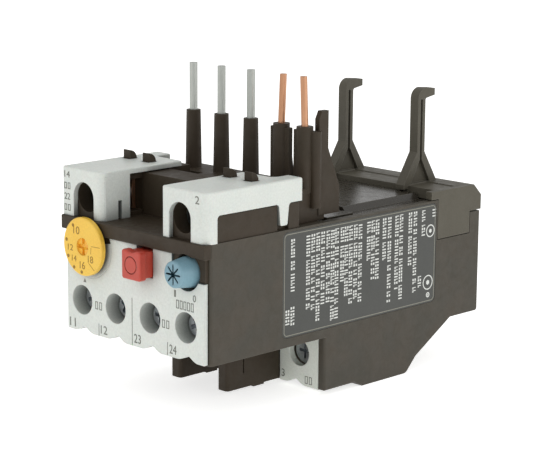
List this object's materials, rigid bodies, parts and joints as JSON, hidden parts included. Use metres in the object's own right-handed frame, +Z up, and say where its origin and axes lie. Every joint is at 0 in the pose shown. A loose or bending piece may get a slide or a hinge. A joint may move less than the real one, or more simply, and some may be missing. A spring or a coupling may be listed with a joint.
{
  "type": "thermal overload relay",
  "caption": "Boxy motor-protection relay with current dial, stop button, reset knob, recessed screw terminals, sleeved pins and upright hooks for plugging onto a contactor",
  "frame": {"origin": "middle of the relay's bounding box, at the underside of its foot", "axes": "+Z up along the pins, +Y from the fascia to the rear, +X across the width, to the right seen from the front"},
  "size_m": [0.045, 0.0908, 0.069],
  "materials": {
    "dark_housing": "fine moulded grain, dark warm grey",
    "bracket_grey": "smooth moulded, mid grey",
    "light_housing": "satin moulded, light grey",
    "dial_yellow": "satin moulded",
    "stop_red": "satin moulded",
    "reset_blue": "satin moulded",
    "inner_plastic": "moulded, natural",
    "plated_steel": "zinc plated",
    "spring_steel": "drawn wire",
    "silver_pins": "silver-plated round bar",
    "copper": "bare copper",
    "bimetal": "rolled strip"
  },
  "bodies": {
    "housing": {"side_cover_left": "dark_housing", "side_cover_right": "dark_housing", "front_frame": "dark_housing", "phase_barriers": "dark_housing", "pole_base": "dark_housing", "deck_cover": "dark_housing", "terminal_block_left": "dark_housing", "terminal_block_right": "dark_housing", "centre_block": "dark_housing", "sleeve_carrier": "dark_housing", "hook_bracket": "bracket_grey", "fascia": "light_housing", "shroud_left": "light_housing", "shroud_right": "light_housing", "main_terminal_faces": "light_housing", "aux_screws": "plated_steel", "aux_washers": "plated_steel", "main_screws": "plated_steel", "main_clamps": "plated_steel", "upper_screws": "plated_steel", "upper_washers": "plated_steel", "setting_lever_pin": "plated_steel", "trip_lever_pin": "plated_steel", "reset_rocker_pin": "plated_steel", "stop_spring": "spring_steel", "reset_spring": "spring_steel", "pole_pins": "silver_pins", "control_wires": "copper", "main_straps": "copper", "pole_leads": "copper", "wire_links": "copper", "upper_terminal_strips": "copper", "nc_contact_strips": "copper", "no_contact_strips": "copper", "bimetal_strips": "bimetal", "heater_windings": "bimetal"},
    "dial": {"current_dial": "dial_yellow", "setting_cam": "inner_plastic"},
    "setting_lever": {"setting_lever": "inner_plastic"},
    "stop_button": {"stop_button": "stop_red"},
    "reset_plunger": {"reset_plunger": "inner_plastic", "reset_clip": "plated_steel"},
    "reset_knob": {"reset_knob": "reset_blue"},
    "reset_rocker": {"reset_rocker": "inner_plastic"},
    "trip_slide": {"trip_slide": "inner_plastic"},
    "trip_lever": {"trip_lever": "inner_plastic"},
    "contact_carrier": {"contact_carrier": "inner_plastic", "nc_bridge": "copper", "no_bridge": "copper"}
  },
  "joints": [
    {"name": "dial_turn", "type": "hinge", "parent": "housing", "child": "dial", "pos_m": [-0.0138, -0.02815, 0.0327], "axis": [0, 1, 0], "range_deg": [0, 270]},
    {"name": "setting_lever_tilt", "type": "hinge", "parent": "housing", "child": "setting_lever", "pos_m": [-0.0082, -0.02815, 0.0284], "axis": [0, 1, 0], "range_deg": [0, 17.4]},
    {"name": "stop_press", "type": "slide", "parent": "housing", "child": "stop_button", "axis": [0, 1, 0], "range_m": [0, 0.0016], "stiffness_N_per_m": 400, "springref_m": -0.0008, "deforming": ["stop_spring"]},
    {"name": "reset_press", "type": "slide", "parent": "housing", "child": "reset_plunger", "axis": [0, 1, 0], "range_m": [0, 0.0016], "stiffness_N_per_m": 400, "springref_m": -0.0008, "deforming": ["reset_spring"]},
    {"name": "reset_mode_turn", "type": "hinge", "parent": "reset_plunger", "child": "reset_knob", "pos_m": [0.0165, -0.04535, 0.032], "axis": [0, 1, 0], "range_deg": [0, 90]},
    {"name": "reset_rocker_tilt", "type": "hinge", "parent": "housing", "child": "reset_rocker", "pos_m": [0.0068, -0.00975, 0.0323], "axis": [0, 0, 1], "range_deg": [0, 9.6]},
    {"name": "trip_slide_push", "type": "slide", "parent": "housing", "child": "trip_slide", "axis": [-1, 0, 0], "range_m": [0, 0.002]},
    {"name": "trip_lever_turn", "type": "hinge", "parent": "housing", "child": "trip_lever", "pos_m": [-0.0172, -0.01415, 0.0342], "axis": [0, 0, 1], "range_deg": [0, 3.8]},
    {"name": "contact_shift", "type": "slide", "parent": "housing", "child": "contact_carrier", "axis": [0, 1, 0], "range_m": [0, 0.00113]}
  ],
  "couplings": [
    {"joint": "setting_lever_tilt", "follows": "dial_turn", "ratio": 0.06416},
    {"joint": "reset_rocker_tilt", "follows": "reset_press", "rad_per_m": 103.09},
    {"joint": "trip_lever_turn", "follows": "trip_slide_push", "rad_per_m": 32.258},
    {"joint": "contact_shift", "follows": "trip_slide_push", "ratio": 0.55481}
  ]
}
